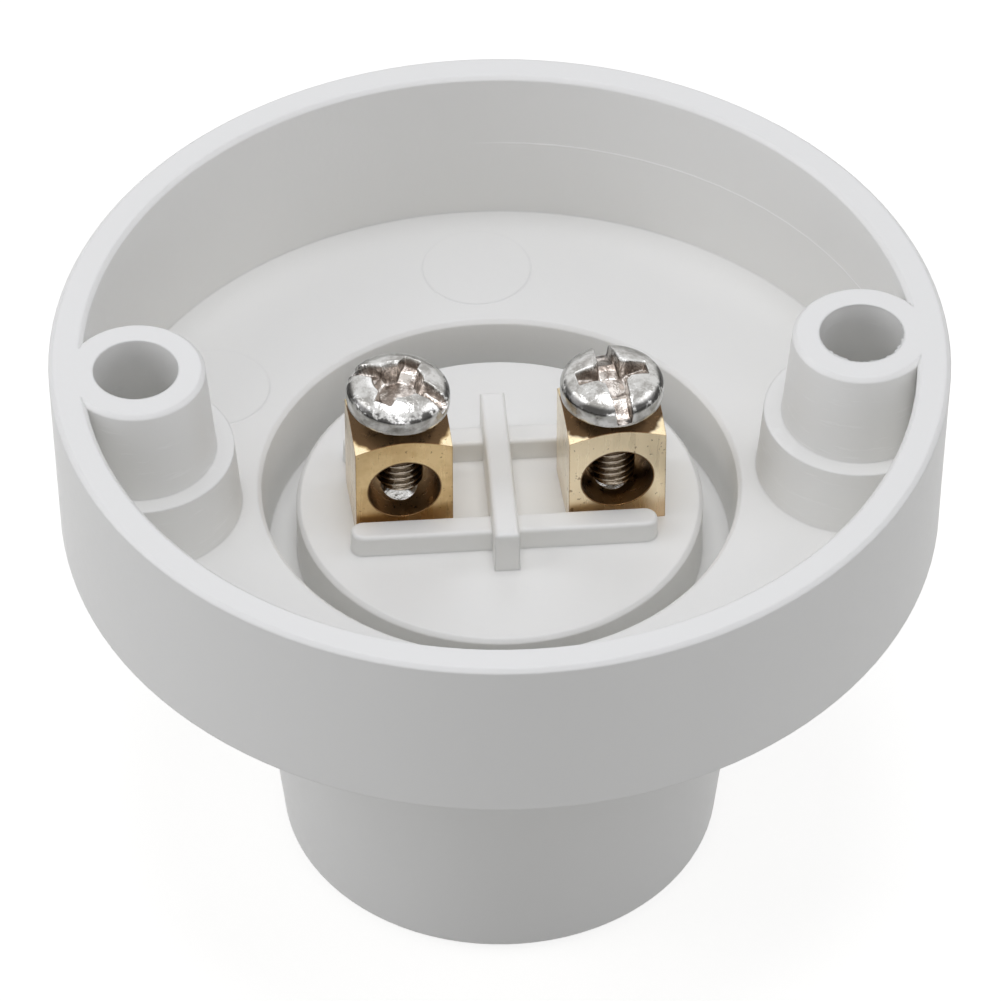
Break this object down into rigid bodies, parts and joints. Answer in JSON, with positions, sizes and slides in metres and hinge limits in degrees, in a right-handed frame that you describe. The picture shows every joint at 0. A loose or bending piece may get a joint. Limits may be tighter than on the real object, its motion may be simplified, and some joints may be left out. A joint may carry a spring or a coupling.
{
  "type": "lamp holder",
  "caption": "Surface-mount Edison-screw lamp holder: white dish on a conical skirt, with brass pillar terminals, clamp screws, threaded shell and sprung centre contact.",
  "frame": {"origin": "centre of the bounding box at the level of the skirt's mouth, on which the holder stands", "axes": "+Z from the mouth to the mounting rim, against which the ceiling or wall lies; X along the line of the two fixing holes"},
  "size_m": [0.075, 0.075, 0.0527],
  "materials": {
    "white_plastic": "satin moulded thermoset",
    "turned_brass": "machined, with tool marks",
    "plated_steel": "bright nickel plate",
    "shell_metal": "rolled and nickel plated",
    "spring_bronze": "plain sprung strip"
  },
  "bodies": {
    "base": {"body": "white_plastic", "terminal_left": "turned_brass", "terminal_right": "turned_brass", "screw_shell": "shell_metal", "contact_leaf": "spring_bronze", "shell_screw": "plated_steel", "contact_screw": "plated_steel", "shell_washer": "plated_steel", "contact_washer": "plated_steel"},
    "left_clamp": {"clamp_screw_left": "plated_steel"},
    "right_clamp": {"clamp_screw_right": "plated_steel"},
    "centre_contact": {"contact_button": "turned_brass"}
  },
  "joints": [
    {"name": "clamp_screw_left_travel", "type": "slide", "parent": "base", "child": "left_clamp", "axis": [0, 0, 1], "range_m": [-0.0007, 0.005]},
    {"name": "clamp_screw_right_travel", "type": "slide", "parent": "base", "child": "right_clamp", "axis": [0, 0, 1], "range_m": [0, 0.0055]},
    {"name": "contact_button_press", "type": "slide", "parent": "base", "child": "centre_contact", "axis": [0, 0, 1], "range_m": [0, 0.0015], "stiffness_N_per_m": 3000, "deforming": ["contact_leaf"]}
  ]
}
